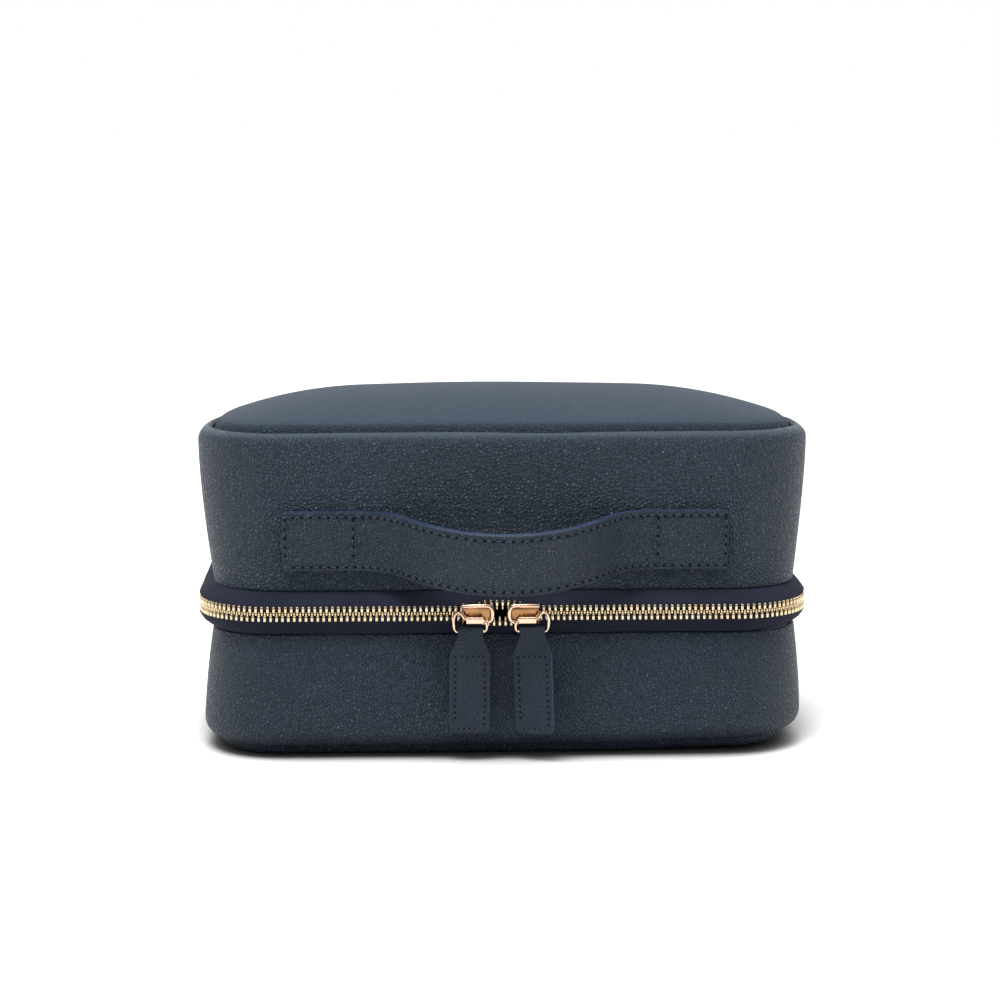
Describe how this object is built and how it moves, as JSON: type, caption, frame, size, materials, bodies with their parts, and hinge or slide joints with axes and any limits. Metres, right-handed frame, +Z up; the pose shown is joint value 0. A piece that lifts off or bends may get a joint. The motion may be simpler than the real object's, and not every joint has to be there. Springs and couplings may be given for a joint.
{
  "type": "jewellery case",
  "caption": "Zip-round leather jewellery case with a padded lid hinged at the back, zip sliders with leather pulls, a front carrying strap and a divided, lined inside.",
  "frame": {"origin": "middle of the underside of the bottom panel, on the table", "axes": "+X to the right along the longest side, +Y to the hinge at the back, +Z up"},
  "size_m": [0.256, 0.161, 0.1483],
  "materials": {
    "leather": "pebbled slate-navy leather, satin",
    "strap_leather": "pebbled slate-navy leather with painted blue edges",
    "frame_leather": "fine-grained slate-navy leather",
    "lining": "suede-like lining, matt grey",
    "foam": "soft foam padding",
    "board": "stiffening board",
    "zip_tape": "woven twill tape, near-black navy",
    "teeth_metal": "polished pale gold",
    "slider_metal": "polished rose gold",
    "mirror": "silvered glass"
  },
  "bodies": {
    "base": {"base_wall": "leather", "base_bottom_panel": "leather", "base_pad": "foam", "base_board": "board", "base_lining": "lining", "long_divider": "lining", "front_divider_left": "lining", "front_divider_right": "lining", "back_divider": "lining", "ring_bed": "lining", "ring_roll_1": "lining", "ring_roll_2": "lining", "ring_roll_3": "lining", "ring_roll_4": "lining", "zip_tape_lower": "zip_tape", "zip_teeth_lower": "teeth_metal", "zip_stops_lower": "teeth_metal", "hinge_leaf_lower": "leather"},
    "lid": {"lid_wall": "leather", "lid_top_panel": "leather", "lid_top_foam": "foam", "lid_board": "board", "lid_lining": "lining", "mirror_frame": "frame_leather", "mirror_glass": "mirror", "zip_tape_upper": "zip_tape", "zip_teeth_upper": "teeth_metal", "zip_stops_upper": "teeth_metal", "hinge_leaf_upper": "leather", "handle_strap": "strap_leather", "handle_backing": "strap_leather"},
    "slider_left": {"slider_left": "slider_metal"},
    "slider_right": {"slider_right": "slider_metal"},
    "ring_left": {"pull_ring_left": "slider_metal"},
    "ring_right": {"pull_ring_right": "slider_metal"},
    "pull_left": {"pull_tab_left": "strap_leather"},
    "pull_right": {"pull_tab_right": "strap_leather"}
  },
  "joints": [
    {"name": "lid_hinge", "type": "hinge", "parent": "base", "child": "lid", "pos_m": [0, 0.0625, 0.0615], "axis": [-1, 0, 0], "range_deg": [0, 105]},
    {"name": "slider_left_run", "type": "slide", "parent": "base", "child": "slider_left", "axis": [-1, 0, 0], "range_m": [-0.0015, 0.076]},
    {"name": "ring_left_swing", "type": "hinge", "parent": "slider_left", "child": "ring_left", "pos_m": [-0.0146, -0.0717, 0.0595], "axis": [-1, 0, 0], "range_deg": [-3, 80]},
    {"name": "pull_left_swing", "type": "hinge", "parent": "ring_left", "child": "pull_left", "pos_m": [-0.0146, -0.0717, 0.0549], "axis": [-1, 0, 0], "range_deg": [-1.5, 25]},
    {"name": "slider_right_run", "type": "slide", "parent": "base", "child": "slider_right", "axis": [1, 0, 0], "range_m": [-0.0015, 0.08]},
    {"name": "ring_right_swing", "type": "hinge", "parent": "slider_right", "child": "ring_right", "pos_m": [0.0106, -0.0717, 0.0595], "axis": [-1, 0, 0], "range_deg": [-3, 80]},
    {"name": "pull_right_swing", "type": "hinge", "parent": "ring_right", "child": "pull_right", "pos_m": [0.0106, -0.0717, 0.0549], "axis": [-1, 0, 0], "range_deg": [-1.5, 25]}
  ]
}
